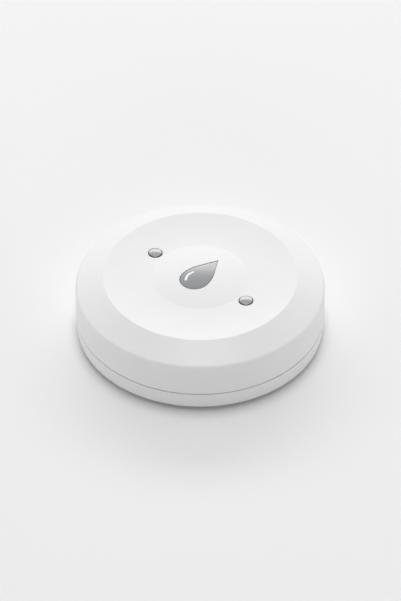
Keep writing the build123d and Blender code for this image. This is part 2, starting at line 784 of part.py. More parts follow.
with BuildPart() as cell_cap:
    with BuildSketch(Plane.XY.offset(cell_z + can_wall)):
        Circle(cap_radius - set_fit)
    extrude(amount=cell_height - can_wall)
    chamfer(cell_cap.edges().group_by(Axis.Z)[-1], length=cell_edge)
cell_cap.part.label = "cell_cap"
export_step(cell_cap.part, "parts/cell_cap.step")

# Minus contact: two crossed leaves that dip from the board to the cap
pad_centre_z = board_z - contact_strip / 2
tip_centre_z = cell_top_z + contact_strip / 2
leaf_bend = minus_leaf_half - minus_pad_length

with BuildPart() as minus_contact:
    for leaf_plane in (Plane.XZ, Plane.YZ):
        with BuildSketch(leaf_plane):
            with BuildLine():
                Polyline((-minus_leaf_half, pad_centre_z), (-leaf_bend, pad_centre_z),
                         (-minus_tip_half, tip_centre_z), (minus_tip_half, tip_centre_z),
                         (leaf_bend, pad_centre_z), (minus_leaf_half, pad_centre_z))
                offset(amount=contact_strip / 2, side=Side.BOTH, kind=Kind.INTERSECTION)
            make_face()
        extrude(amount=minus_width / 2, both=True)
minus_contact.part.label = "minus_contact"
export_step(minus_contact.part, "parts/minus_contact.step")

# Plus contact: a strip from the board down to the side of the can
touch_z = (cup_top_z + cell_top_z) / 2
touch_radius = cell_radius + set_fit + contact_strip / 2
plus_elbow = touch_radius + plus_bow
plus_end_z = (cup_top_z + touch_z) / 2

with BuildPart() as plus_contact:
    with BuildSketch(Plane.XZ.rotated((0, 0, plus_side_deg))):
        with BuildLine():
            Polyline((plus_elbow + plus_pad_length, pad_centre_z), (plus_elbow, pad_centre_z),
                     (touch_radius, touch_z), (plus_elbow, plus_end_z))
            offset(amount=contact_strip / 2, side=Side.BOTH, kind=Kind.INTERSECTION)
        make_face()
    extrude(amount=plus_width / 2, both=True)
plus_contact.part.label = "plus_contact"
export_step(plus_contact.part, "parts/plus_contact.step")

# Radio: a small board with a shield can on it, and a folded antenna beside it
with BuildPart() as radio_board:
    add(on_board((0, radio_y, *radio_board_size)))
radio_board.part.label = "radio_board"
export_step(radio_board.part, "parts/radio_board.step")

radio_top_z = board_top_z + radio_board_size[2]
shield_width, shield_depth, shield_height = radio_shield_size
with BuildPart() as radio_shield:
    with Locations((0, radio_y + shield_offset, radio_top_z)):
        Box(shield_width, shield_depth, shield_height, align=flat)
    fillet(radio_shield.edges().filter_by(Axis.Z), radius=shield_round)
    with Locations((0, radio_y + shield_offset, radio_top_z)):
        Box(shield_width - 2 * shield_wall, shield_depth - 2 * shield_wall,
            shield_height - shield_wall, align=flat, mode=Mode.SUBTRACT)
radio_shield.part.label = "radio_shield"
export_step(radio_shield.part, "parts/radio_shield.step")

antenna_y = radio_y + antenna_offset
antenna_width, antenna_depth, antenna_height = antenna_size
with BuildPart() as antenna:
    with Locations((antenna_x, antenna_y, board_top_z)):
        Box(antenna_width, antenna_depth, antenna_height, align=flat)
    with Locations((antenna_x, antenna_y - antenna_strip, board_top_z)):
        Box(antenna_width, antenna_depth, antenna_height - antenna_strip, align=flat, mode=Mode.SUBTRACT)
    with Locations((antenna_x, antenna_y + antenna_depth / 2, board_top_z)):
        Box(antenna_gap, antenna_depth, antenna_height - 2 * antenna_strip, align=flat,
            mode=Mode.SUBTRACT)
antenna.part.label = "antenna"
export_step(antenna.part, "parts/antenna.step")

# Sensing chip, crystal and inductor
with BuildPart() as sensing_chip:
    add(on_board(chip_box))
    chamfer(sensing_chip.edges().group_by(Axis.Z)[-1], length=chip_edge)
sensing_chip.part.label = "sensing_chip"
export_step(sensing_chip.part, "parts/sensing_chip.step")

with BuildPart() as crystal:
    add(on_board(crystal_box))
    fillet(crystal.edges().filter_by(Axis.Z), radius=crystal_round)
crystal.part.label = "crystal"
export_step(crystal.part, "parts/crystal.step")

with BuildPart() as inductor:
    add(on_board(inductor_box))
    chamfer(inductor.edges().filter_by(Axis.Z), length=inductor_corner)
    with BuildSketch(Plane.XY.offset(board_top_z + inductor_box[4])):
        with Locations((inductor_box[0], inductor_box[1])):
            Circle(inductor_core_radius)
    extrude(amount=-inductor_core_depth, mode=Mode.SUBTRACT)
inductor.part.label = "inductor"
export_step(inductor.part, "parts/inductor.step")

# Light under the lens
with BuildPart() as status_led:
    add(on_board(led_box))
    with BuildSketch(Plane.XY.offset(board_top_z + led_box[4])):
        with Locations((led_box[0], led_box[1])):
            Circle(led_lens_radius)
    extrude(amount=led_lens_height)
status_led.part.label = "status_led"
export_step(status_led.part, "parts/status_led.step")

# Small capacitors and resistors, each kind as one group of separate blocks
with BuildPart() as capacitors:
    with Locations(*[(across, along, board_top_z) for across, along in capacitor_places]):
        Box(*capacitor_box, align=flat)
capacitors.part.label = "capacitors"
export_step(capacitors.part, "parts/capacitors.step")

with BuildPart() as resistors:
    with Locations(*[(across, along, board_top_z) for across, along in resistor_places]):
        Box(*resistor_box, align=flat)
resistors.part.label = "resistors"
export_step(resistors.part, "parts/resistors.step")
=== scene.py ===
import json
import math

import bpy
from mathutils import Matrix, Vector


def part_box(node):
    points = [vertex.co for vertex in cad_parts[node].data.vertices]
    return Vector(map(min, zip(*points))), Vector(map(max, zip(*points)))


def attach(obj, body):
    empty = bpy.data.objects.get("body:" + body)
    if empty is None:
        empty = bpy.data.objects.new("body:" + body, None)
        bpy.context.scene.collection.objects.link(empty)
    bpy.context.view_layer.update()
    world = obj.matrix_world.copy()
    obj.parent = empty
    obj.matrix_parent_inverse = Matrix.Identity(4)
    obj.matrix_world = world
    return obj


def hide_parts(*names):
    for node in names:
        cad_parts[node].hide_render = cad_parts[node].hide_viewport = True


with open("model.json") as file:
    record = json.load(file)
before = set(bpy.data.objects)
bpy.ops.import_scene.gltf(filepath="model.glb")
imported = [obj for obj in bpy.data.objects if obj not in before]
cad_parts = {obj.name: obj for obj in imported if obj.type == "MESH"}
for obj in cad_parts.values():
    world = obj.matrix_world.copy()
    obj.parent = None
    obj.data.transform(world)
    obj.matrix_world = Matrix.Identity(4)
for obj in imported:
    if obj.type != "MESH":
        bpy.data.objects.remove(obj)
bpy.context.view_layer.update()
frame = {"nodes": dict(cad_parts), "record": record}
scene = bpy.context.scene
MM = 0.001

# The top cover's dome, and the valley that it rises from
VALLEY_Z = 15.55 * MM
DOME_TOP_Z = 16.3 * MM
DOME_RADIUS = 11.6 * MM

# Outline of the drop in the dome: a round bulb, and sides that lean in towards a tip behind it
DROP_HALF_WIDTH = 3.55 * MM     # radius of the bulb
DROP_REACH = 8.98 * MM          # from the middle of the bulb to the tip
DROP_BULB_Y = -2.14 * MM
DROP_LEAN = math.radians(27.5)
DROP_SIDE_STEPS = 28
DROP_BULB_STEPS = 56

# The lens that fills the drop
LENS_RECESS = 0.05 * MM
LENS_EDGE = 0.17 * MM           # width of the drop's dark rounded edge
LENS_EDGE_FALL = 0.08 * MM
LENS_RIM = 0.75 * MM            # width of the band that slopes gently to that edge
LENS_RIM_FALL = 0.05 * MM
# Insets of the lens's rings in mm; its straight sides end at an inset of 2.87
LENS_RINGS = (0.0, 0.02, 0.05, 0.09, 0.13, 0.17, 0.25, 0.35, 0.46, 0.58, 0.75, 1.0,
              1.3, 1.65, 2.0, 2.4, 2.75)

# The highlight in the drop, a stroke along an arc
HIGHLIGHT_CENTRE = Vector((1.0 * MM, -1.7 * MM))
HIGHLIGHT_RADIUS = 3.15 * MM
HIGHLIGHT_START = math.radians(155)
HIGHLIGHT_SWEEP = math.radians(61)
HIGHLIGHT_STEPS = 24
HIGHLIGHT_HALF_WIDTHS = (0.27 * MM, 0.32 * MM)      # at its upper and its lower end
HIGHLIGHT_CROWN = 0.015 * MM
HIGHLIGHT_DEPTH = 0.25 * MM
HIGHLIGHT_COLUMNS = (-1.0, -0.92, -0.6, 0.0, 0.6, 0.92, 1.0)    # across it, as shares of its half width
HIGHLIGHT_END_TURNS = (15, 30, 45, 60, 75)          # degrees, where the round ends have points

# Turned pieces: points round them, and steps along each curve of their profiles
TURNS = 72
PROFILE_STEPS = 8
PIN_RIM_DEG = 80                # where a pin's rounded rim takes over from its crown

# Probes on the top
PROBE_CIRCLE = 13.88 * MM       # from the case's axis to each pin's
PROBE_HEAD_RADIUS = 1.7 * MM
PROBE_TOP_Z = 15.9 * MM
PROBE_CROWN = 0.16 * MM         # fall of the head's face from its middle to its rim
PROBE_ROUND = 0.28 * MM         # radius of the rounded rim
PROBE_SEAT_Z = 15.2 * MM        # underside of the head
PROBE_SHANK_RADIUS = 1.0 * MM
PROBE_GROOVE_RADIUS = 0.65 * MM
PROBE_GROOVE_Z = 12.85 * MM
PROBE_GROOVE_WIDTH = 0.6 * MM
PROBE_END_Z = 11.55 * MM

# Probes on the underside
LOW_PROBE_CIRCLE = 21.28 * MM
LOW_PROBE_RADIUS = 2.2 * MM
LOW_PROBE_Z = 0.3 * MM
LOW_PROBE_CROWN = 0.1 * MM
LOW_PROBE_ROUND = 0.3 * MM
LOW_PROBE_SEAT_Z = 1.4 * MM
LOW_PROBE_SHANK_RADIUS = 1.2 * MM
LOW_PROBE_GROOVE_RADIUS = 0.85 * MM
LOW_PROBE_GROOVE_Z = 4.2 * MM
LOW_PROBE_END_Z = 8.6 * MM

# Feet
FOOT_CIRCLE = 22.26 * MM
FOOT_RADIUS = 3.8 * MM
FOOT_TOP_Z = 1.6 * MM
FOOT_ROUND = 0.35 * MM
FOOT_DISH_RADIUS = 2.7 * MM
FOOT_DISH_DEPTH = 0.12 * MM
FOOT_DISH_SLOPE = 0.3 * MM
FOOT_TURNS = (90, 210, 330)     # degrees anticlockwise from the right, seen from above

# Floor
FLOOR_HALF = 1.5                # half the length of its sides

# Camera: far off behind a long lens, above and to one side
CAMERA_AZIMUTH = math.radians(38.77)
CAMERA_ELEVATION = math.radians(41.46)
CAMERA_DISTANCE = 0.71155
CAMERA_AIM_Z = 1.0 * MM
CAMERA_RIGHT = 0.07 * MM
CAMERA_UP = 5.2 * MM
CAMERA_CLIP = 0.01
FOCAL_PIXELS = 2939.0
LONG_SIDE_PIXELS = 601
SENSOR_MM = 36.0


def direction(azimuth, elevation):
    """Unit vector from the object to a place; azimuth 0 is in front of it, a quarter turn to its right."""
    return Vector((math.sin(azimuth) * math.cos(elevation), -math.cos(azimuth) * math.cos(elevation),
                   math.sin(elevation)))


def add_camera():
    """The camera that the scene is rendered from."""
    back = direction(CAMERA_AZIMUTH, CAMERA_ELEVATION)
    right = Vector((math.cos(CAMERA_AZIMUTH), math.sin(CAMERA_AZIMUTH), 0))
    up = back.cross(right)
    data = bpy.data.cameras.new("camera")
    data.sensor_width = SENSOR_MM
    data.lens = FOCAL_PIXELS * SENSOR_MM / LONG_SIDE_PIXELS
    data.clip_start = CAMERA_CLIP
    camera = bpy.data.objects.new("camera", data)
    camera.location = (Vector((0, 0, CAMERA_AIM_Z)) + CAMERA_RIGHT * right + CAMERA_UP * up
                       + CAMERA_DISTANCE * back)
    camera.rotation_mode = "QUATERNION"
    camera.rotation_quaternion = back.to_track_quat("Z", "Y")
    scene.collection.objects.link(camera)
    scene.camera = camera


add_camera()


# Nodes of materials and of the world
COLOUR_A, COLOUR_B = 6, 7       # a mix node's inputs for two colours, which share their names with others
COLOUR_RESULT = 2               # its output for their mix


def link(tree, output, target):
    """Feeds a node's output into another node's input."""
    tree.links.new(output, target)


def feed(tree, socket, value):
    """Gives a socket a number, a colour or another node's output."""
    if isinstance(value, bpy.types.NodeSocket):
        link(tree, value, socket)
    elif isinstance(value, tuple):
        socket.default_value = (*value, 1.0)
    else:
        socket.default_value = value


def calculate(tree, operation, first, second=None):
    """A math node's result."""
    node = tree.nodes.new("ShaderNodeMath")
    node.operation = operation
    feed(tree, node.inputs[0], first)
    if second is not None:
        feed(tree, node.inputs[1], second)
    return node.outputs[0]


def remap(tree, value, from_min, from_max, to_min=0.0, to_max=1.0, smooth=False):
    """Takes a value from one range to another, and holds it there beyond its ends."""
    node = tree.nodes.new("ShaderNodeMapRange")
    node.interpolation_type = "SMOOTHSTEP" if smooth else "LINEAR"
    ends = {"From Min": from_min, "From Max": from_max, "To Min": to_min, "To Max": to_max}
    for key, number in ends.items():
        node.inputs[key].default_value = number
    link(tree, value, node.inputs["Value"])
    return node.outputs["Result"]


def axes(tree, vector):
    """The three components of a vector."""
    node = tree.nodes.new("ShaderNodeSeparateXYZ")
    link(tree, vector, node.inputs["Vector"])
    return node.outputs


def place(tree):
    """Where a point lies on its object, in metres."""
    return tree.nodes.new("ShaderNodeTexCoord").outputs["Object"]


def noise(tree, size_mm, detail=3.0):
    """Noise in the object's own coordinates, with the size of its grain."""
    grain = tree.nodes.new("ShaderNodeTexNoise")
    grain.inputs["Scale"].default_value = 1 / (size_mm * MM)
    grain.inputs["Detail"].default_value = detail
    link(tree, place(tree), grain.inputs["Vector"])
    return grain.outputs["Fac"]


def tint(tree, factor, first, second):
    """Mixes two colours by a factor between 0 and 1."""
    mix = tree.nodes.new("ShaderNodeMix")
    mix.data_type = "RGBA"
    feed(tree, mix.inputs["Factor"], factor)
    feed(tree, mix.inputs[COLOUR_A], first)
    feed(tree, mix.inputs[COLOUR_B], second)
    return mix.outputs[COLOUR_RESULT]


def blend(tree, factor, first, second):
    """Mixes two numbers by a factor between 0 and 1."""
    mix = tree.nodes.new("ShaderNodeMix")
    feed(tree, mix.inputs["Factor"], factor)
    feed(tree, mix.inputs["A"], first)
    feed(tree, mix.inputs["B"], second)
    return mix.outputs["Result"]


# Studio: a room lit overhead and low at its sides, with softboxes behind, above and low in front
ROOM_FRONT = 0.194              # overhead, on the camera's side
ROOM_BACK = 0.754               # overhead, on the far side
ROOM_SIDES = 1.049              # low, on both sides
ROOM_SEEN = 0.9                 # all round, as the camera and mirroring or clear surfaces see it
# Where the room's parts fade into each other, along the axes of a unit vector
ROOM_BESIDE = (0.55, 0.85)
ROOM_LOW = (0.5, 0.3)
ROOM_DEPTH = (-0.3, 0.3)
STUDIO_DISTANCE = 1.2           # from the object's place to each softbox
# Name, azimuth from the camera's and elevation in degrees, width and height in metres, and watts
SOFTBOXES = (
    ("back_low", 180, 26, (1.4, 0.17), 2.63),
    ("back", 180, 34, (1.4, 0.17), 2.33),
    ("top", 180, 84, (0.35, 0.35), 3.69),
    ("front", 0, 12, (0.6, 0.17), 1.65),
)


def room_level(tree):
    """The room's brightness by direction, with its far side behind the object as the camera sees it."""
    turn = tree.nodes.new("ShaderNodeMapping")
    turn.inputs["Rotation"].default_value = (0, 0, -CAMERA_AZIMUTH)
    link(tree, tree.nodes.new("ShaderNodeTexCoord").outputs["Generated"], turn.inputs["Vector"])
    across, deep, height = axes(tree, turn.outputs["Vector"])
    beside = remap(tree, calculate(tree, "ABSOLUTE", across), *ROOM_BESIDE, smooth=True)
    low = remap(tree, height, *ROOM_LOW, smooth=True)
    overhead = remap(tree, deep, *ROOM_DEPTH, ROOM_FRONT, ROOM_BACK)
    return blend(tree, low, overhead, calculate(tree, "MULTIPLY", beside, ROOM_SIDES))


def add_room():
    """The world, which lights surfaces by direction and looks even where it is seen."""
    world = bpy.data.worlds.new("studio")
    world.use_nodes = True
    tree = world.node_tree
    background = tree.nodes["Background"]
    background.inputs["Color"].default_value = (1, 1, 1, 1)
    level = room_level(tree)
    rays = tree.nodes.new("ShaderNodeLightPath").outputs
    seen = calculate(tree, "MAXIMUM", rays["Is Camera Ray"], rays["Is Glossy Ray"])
    seen = calculate(tree, "MAXIMUM", seen, rays["Is Transmission Ray"])
    link(tree, blend(tree, seen, level, ROOM_SEEN), background.inputs["Strength"])
    scene.world = world


def softbox(name, azimuth, elevation, size, watts):
    """An area light that points at the object; azimuth 0 is where the camera stands."""
    away = direction(CAMERA_AZIMUTH + math.radians(azimuth), math.radians(elevation))
    data = bpy.data.lights.new(name, "AREA")
    data.shape = "RECTANGLE"
    data.size, data.size_y = size
    data.energy = watts
    light = bpy.data.objects.new(name, data)
    light.location = away * STUDIO_DISTANCE
    light.rotation_mode = "QUATERNION"
    light.rotation_quaternion = away.to_track_quat("Z", "Y")
    scene.collection.objects.link(light)


add_room()
for settings in SOFTBOXES:
    softbox(*settings)


# Materials
NOISE_RANGE = (0.3, 0.7)        # where most of a noise's values lie
EDGE_SAMPLES = 4
BROAD_GRAIN = 12                # size of moulded plastic's broad grain, in sizes of its fine grain
FINE_SHARE, BROAD_SHARE = 0.8, 0.2


def new_material(name):
    """A material with its nodes, and the principled shader that it ends in."""
    material = bpy.data.materials.new(name)
    material.use_nodes = True
    return material, material.node_tree, material.node_tree.nodes["Principled BSDF"]


def shade(colour, factor):
    """A colour made darker or paler by a factor."""
    return tuple(min(1.0, channel * factor) for channel in colour)


def paint(tree, shader, colour):
    """Feeds a colour into the shader's base."""
    link(tree, colour, shader.inputs["Base Color"])


def clouded(tree, grain, colour, variation):
    """A colour that drifts a little over the surface."""
    drift = remap(tree, grain, *NOISE_RANGE)
    return tint(tree, drift, shade(colour, 1 - variation), shade(colour, 1 + variation))


def rough(tree, shader, grain, low, high):
    """Roughness that varies over the surface between two values."""
    link(tree, remap(tree, grain, *NOISE_RANGE, low, high), shader.inputs["Roughness"])


def relief(tree, shader, height, depth_mm, edge_mm=0.0):
    """Fine relief over the surface, and edges that catch the light as rounded ones do."""
    node = tree.nodes.new("ShaderNodeBump")
    node.inputs["Distance"].default_value = depth_mm * MM
    link(tree, height, node.inputs["Height"])
    if edge_mm:
        edges = tree.nodes.new("ShaderNodeBevel")
        edges.samples = EDGE_SAMPLES
        edges.inputs["Radius"].default_value = edge_mm * MM
        link(tree, edges.outputs["Normal"], node.inputs["Normal"])
    link(tree, node.outputs["Normal"], shader.inputs["Normal"])


def moulded(name, colour, roughness, grain_mm=0.09, depth_mm=0.0025, cloud_mm=6.0, variation=0.008,
            edge_mm=0.08):
    """Plastic from a spark-eroded mould: a fine, even grain, and slight drift in its gloss."""
    material, tree, shader = new_material(name)
    paint(tree, shader, clouded(tree, noise(tree, cloud_mm), colour, variation))
    fine = calculate(tree, "MULTIPLY", noise(tree, grain_mm, detail=4.0), FINE_SHARE)
    broad = calculate(tree, "MULTIPLY", noise(tree, grain_mm * BROAD_GRAIN, detail=2.0), BROAD_SHARE)
    grain = calculate(tree, "ADD", fine, broad)
    rough(tree, shader, grain, *roughness)
    relief(tree, shader, grain, depth_mm, edge_mm)
    return material


def rubber(name, colour, speck=1.5):
    """Matt rubber with a powdery surface and fine pits."""
    material, tree, shader = new_material(name)
    powder = remap(tree, noise(tree, size_mm=0.5, detail=6.0), from_min=0.35, from_max=0.75)
    paint(tree, shader, tint(tree, powder, shade(colour, factor=0.9), shade(colour, speck)))
    pits = noise(tree, size_mm=0.12, detail=5.0)
    rough(tree, shader, pits, low=0.62, high=0.8)
    relief(tree, shader, pits, depth_mm=0.012, edge_mm=0.05)
    return material


def metal(name, colour, roughness, streak_mm):
    """Bare sheet or wire, with the uneven gloss of drawn metal."""
    material, tree, shader = new_material(name)
    shader.inputs["Metallic"].default_value = 1.0
    paint(tree, shader, clouded(tree, noise(tree, size_mm=1.2), colour, variation=0.03))
    rough(tree, shader, noise(tree, size_mm=0.7, detail=4.0), *roughness)
    relief(tree, shader, noise(tree, streak_mm, detail=5.0), depth_mm=0.001, edge_mm=0.04)
    return material


# Where painted shade darkens a pin's rim, for the shadowed gap round it, as shares of its radius, and how
# many turning marks its face has
PIN_PAINTED_SHADE = (0.85, 0.94)
PIN_MARKS = 34


def turned_pin(name, face, rim_shade, roughness):
    """Satin pin: turning marks round its axis, and a rim darkened with painted shade where it meets the
    plastic, for the shadowed gap there.
    """
    material, tree, shader = new_material(name)
    shader.inputs["Metallic"].default_value = 1.0
    attribute = tree.nodes.new("ShaderNodeAttribute")
    attribute.attribute_name = "share"
    share = attribute.outputs["Fac"]
    smears = noise(tree, size_mm=0.7, detail=4.0)
    bright = clouded(tree, smears, face, variation=0.03)
    # the rim's dark colour is painted shade, for the shadowed gap round the pin
    paint(tree, shader, tint(tree, remap(tree, share, *PIN_PAINTED_SHADE, smooth=True), bright, rim_shade))
    rough(tree, shader, smears, *roughness)
    marks = calculate(tree, "SINE", calculate(tree, "MULTIPLY", share, math.tau * PIN_MARKS))
    uneven = calculate(tree, "MULTIPLY", marks, noise(tree, size_mm=0.35))
    relief(tree, shader, uneven, depth_mm=0.0004)
    return material


# The drop's colour fades askew to its axis, from the lower right of its bulb to the left of its tip
DROP_FADE = math.radians(39)
DROP_FADE_REACH = (-5.2 * MM, 5.3 * MM)
DROP_STOPS = (
    (0.0, (0.24, 0.258, 0.264)),
    (0.42, (0.292, 0.305, 0.314)),
    (0.54, (0.345, 0.352, 0.365)),
    (0.69, (0.48, 0.485, 0.5)),
    (0.83, (0.535, 0.54, 0.55)),
    (1.0, (0.56, 0.565, 0.575)),
)
LENS_COAT_ROUGHNESS = 0.05


def drop_tone(tree, edge):
    """The drop's colour: dark in the bulb, paler towards the tip; edge shades both ends of the fade."""
    across, along, _ = axes(tree, place(tree))
    askew = calculate(tree, "SUBTRACT", calculate(tree, "MULTIPLY", along, math.cos(DROP_FADE)),
                      calculate(tree, "MULTIPLY", across, math.sin(DROP_FADE)))
    ramp = tree.nodes.new("ShaderNodeValToRGB")
    link(tree, remap(tree, askew, *DROP_FADE_REACH), ramp.inputs["Fac"])
    stops = ramp.color_ramp.elements
    for position, _ in DROP_STOPS[1:-1]:
        stops.new(position)
    for stop, (position, colour) in zip(stops, DROP_STOPS):
        stop.color = (*shade(colour, edge[0] + (edge[1] - edge[0]) * position), 1.0)
    return ramp.outputs["Color"]


def smoked_lens(name, gloss, edge=(1.0, 1.0), coat=0.0):
    """Tinted plastic, a little uneven as a moulded window is."""
    material, tree, shader = new_material(name)
    paint(tree, shader, drop_tone(tree, edge))
    waves = noise(tree, size_mm=1.4, detail=2.0)
    rough(tree, shader, waves, *gloss)
    relief(tree, shader, waves, depth_mm=0.0015)
    shader.inputs["Coat Weight"].default_value = coat
    shader.inputs["Coat Roughness"].default_value = LENS_COAT_ROUGHNESS
    return material


# Solder mask over the weave of a circuit board
LAMINATE_WEAVE = {
    "Scale": 1 / (1.6 * MM),
    "Color1": (0.012, 0.1, 0.04),
    "Color2": (0.016, 0.125, 0.05),
    "Mortar": (0.03, 0.17, 0.07),
    "Mortar Size": 0.08,
}


def laminate(name):
    """Green solder mask over woven glass."""
    material, tree, shader = new_material(name)
    weave = tree.nodes.new("ShaderNodeTexBrick")
    for key, value in LAMINATE_WEAVE.items():
        feed(tree, weave.inputs[key], value)
    link(tree, place(tree), weave.inputs["Vector"])
    paint(tree, shader, weave.outputs["Color"])
    rough(tree, shader, noise(tree, size_mm=0.3, detail=4.0), low=0.28, high=0.4)
    relief(tree, shader, weave.outputs["Fac"], depth_mm=0.01, edge_mm=0.04)
    return material


# One material for each slot: its name, its colour or colours, and its lowest and highest roughness
MATERIALS = {
    "cover_plastic": moulded("cover_plastic", (0.9, 0.9, 0.9), (0.36, 0.46)),
    "base_plastic": moulded("base_plastic", (0.88, 0.88, 0.88), (0.38, 0.48)),
    "door_plastic": moulded("door_plastic", (0.86, 0.86, 0.86), (0.42, 0.54), grain_mm=0.12, depth_mm=0.005),
    "foot_rubber": rubber("foot_rubber", (0.2, 0.2, 0.2), speck=1.25),
    "seal_rubber": rubber("seal_rubber", (0.05, 0.055, 0.06)),
    # the pins' second, dark colour is painted shade on their rims
    "probe_steel": turned_pin("probe_steel", (0.285, 0.285, 0.28), (0.055, 0.055, 0.055), (0.28, 0.36)),
    "lens_grey": smoked_lens("lens_grey", (0.3, 0.36), coat=0.12),
    "highlight_white": moulded("highlight_white", (0.97, 0.97, 0.97), (0.2, 0.28), depth_mm=0.001,
                               edge_mm=0),
    "guide_clear": moulded("guide_clear", (0.75, 0.78, 0.8), (0.1, 0.16), grain_mm=0.6, depth_mm=0.001),
    "board_laminate": laminate("board_laminate"),
    "tinned_steel": metal("tinned_steel", (0.62, 0.62, 0.6), (0.28, 0.42), streak_mm=0.25),
    "screw_steel": metal("screw_steel", (0.55, 0.55, 0.57), (0.24, 0.36), streak_mm=0.12),
    "cell_steel": metal("cell_steel", (0.68, 0.68, 0.68), (0.2, 0.32), streak_mm=0.2),
    "cell_gasket": moulded("cell_gasket", (0.03, 0.03, 0.033), (0.45, 0.6), variation=0.08),
    "spring_brass": metal("spring_brass", (0.72, 0.55, 0.28), (0.2, 0.32), streak_mm=0.15),
    "pad_foam": rubber("pad_foam", (0.03, 0.03, 0.032), speck=2.2),
    "chip_black": moulded("chip_black", (0.014, 0.014, 0.014), (0.5, 0.65), variation=0.12, edge_mm=0.03),
    "ferrite_grey": moulded("ferrite_grey", (0.036, 0.036, 0.04), (0.55, 0.7), depth_mm=0.006,
                            variation=0.15),
    "capacitor_tan": moulded("capacitor_tan", (0.32, 0.2, 0.11), (0.35, 0.5), variation=0.1, edge_mm=0.04),
    "led_body": moulded("led_body", (0.85, 0.83, 0.72), (0.15, 0.25), depth_mm=0.001, edge_mm=0.03),
    "switch_black": moulded("switch_black", (0.016, 0.016, 0.018), (0.4, 0.55), variation=0.1, edge_mm=0.05),
    "plunger_grey": moulded("plunger_grey", (0.1, 0.105, 0.115), (0.4, 0.55), variation=0.06),
}
LENS_EDGE_MATERIAL = smoked_lens("lens_edge", (0.5, 0.6), edge=(0.6, 0.95))


def dress_solids():
    """Gives every solid the material of its slot."""
    for entry in frame["record"]["subparts"]:
        node = frame["nodes"][entry["node"]]
        node.data.materials.clear()
        node.data.materials.append(MATERIALS[entry["material_slot"]])


dress_solids()


# Meshes
SHARP = math.radians(35)


def add_piece(name, vertices, faces, materials, body, replaced):
    """A mesh piece that rides on a body and stands for a node of the solids."""
    mesh = bpy.data.meshes.new(name)
    mesh.from_pydata(vertices, [], faces)
    mesh.validate()
    for material in materials:
        mesh.materials.append(material)
    mesh.polygons.foreach_set("use_smooth", [True] * len(mesh.polygons))
    mesh.set_sharp_from_angle(angle=SHARP)
    piece = bpy.data.objects.new(name, mesh)
    scene.collection.objects.link(piece)
    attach(piece, body)
    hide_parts(replaced)
    return piece


def arc_points(centre, radius, start_deg, end_deg):
    """Points on an arc of a profile, as radius and height."""
    sweep = end_deg - start_deg
    angles = [math.radians(start_deg + sweep * k / PROFILE_STEPS) for k in range(PROFILE_STEPS + 1)]
    return [(centre[0] + radius * math.cos(a), centre[1] + radius * math.sin(a)) for a in angles]


def crown_points(radius, top, fall):
    """Points on a shallow dome's profile, from its middle out to a radius."""
    return [(radius * k / PROFILE_STEPS, top - fall * (k / PROFILE_STEPS) ** 2)
            for k in range(PROFILE_STEPS + 1)]


def turned_piece(name, profile, places, material, body, replaced):
    """Turns a profile about an upright axis at each place; each point keeps its share of the full radius."""
    vertices, faces, shares = [], [], []
    widest = max(radius for radius, _ in profile)
    for x, y in places:
        rings = []
        for radius, height in profile:
            count = 1 if radius == 0 else TURNS
            rings.append(list(range(len(vertices), len(vertices) + count)))
            for k in range(count):
                angle = math.tau * k / TURNS
                vertices.append((x + radius * math.cos(angle), y + radius * math.sin(angle), height))
                shares.append(radius / widest)
        for upper, lower in zip(rings, rings[1:]):
            for k in range(TURNS):
                n = (k + 1) % TURNS
                corners = [upper[k % len(upper)], lower[k % len(lower)], lower[n % len(lower)],
                           upper[n % len(upper)]]
                faces.append(tuple(dict.fromkeys(corners)))
    piece = add_piece(name, vertices, faces, [material], body, replaced)
    attribute = piece.data.attributes.new("share", "FLOAT", "POINT")
    attribute.data.foreach_set("value", shares)


def add_upper_probes():
    """Satin pins: a low dome with a rounded rim over a shank with its seal's groove."""
    face = PROBE_HEAD_RADIUS - PROBE_ROUND
    shoulder = PROBE_TOP_Z - PROBE_CROWN
    groove_top = PROBE_GROOVE_Z + PROBE_GROOVE_WIDTH
    profile = crown_points(face, PROBE_TOP_Z, PROBE_CROWN)
    profile += arc_points((face, shoulder - PROBE_ROUND), PROBE_ROUND, PIN_RIM_DEG, 0)
    profile += [(PROBE_HEAD_RADIUS, PROBE_SEAT_Z), (PROBE_SHANK_RADIUS, PROBE_SEAT_Z),
                (PROBE_SHANK_RADIUS, groove_top), (PROBE_GROOVE_RADIUS, groove_top),
                (PROBE_GROOVE_RADIUS, PROBE_GROOVE_Z), (PROBE_SHANK_RADIUS, PROBE_GROOVE_Z),
                (PROBE_SHANK_RADIUS, PROBE_END_Z), (0, PROBE_END_Z)]
    turned_piece("upper_probe_pins", profile, [(PROBE_CIRCLE, 0), (-PROBE_CIRCLE, 0)],
                 MATERIALS["probe_steel"], "case", "upper_probes")


def add_lower_probes():
    """The same kind of pin, head down."""
    face = LOW_PROBE_RADIUS - LOW_PROBE_ROUND
    edge = LOW_PROBE_Z + LOW_PROBE_CROWN
    groove_top = LOW_PROBE_GROOVE_Z + PROBE_GROOVE_WIDTH
    profile = crown_points(face, LOW_PROBE_Z, -LOW_PROBE_CROWN)
    profile += arc_points((face, edge + LOW_PROBE_ROUND), LOW_PROBE_ROUND, -PIN_RIM_DEG, 0)
    profile += [(LOW_PROBE_RADIUS, LOW_PROBE_SEAT_Z), (LOW_PROBE_SHANK_RADIUS, LOW_PROBE_SEAT_Z),
                (LOW_PROBE_SHANK_RADIUS, LOW_PROBE_GROOVE_Z), (LOW_PROBE_GROOVE_RADIUS, LOW_PROBE_GROOVE_Z),
                (LOW_PROBE_GROOVE_RADIUS, groove_top), (LOW_PROBE_SHANK_RADIUS, groove_top),
                (LOW_PROBE_SHANK_RADIUS, LOW_PROBE_END_Z), (0, LOW_PROBE_END_Z)]
    turned_piece("lower_probe_pins", profile[::-1], [(LOW_PROBE_CIRCLE, 0), (-LOW_PROBE_CIRCLE, 0)],
                 MATERIALS["probe_steel"], "case", "lower_probes")


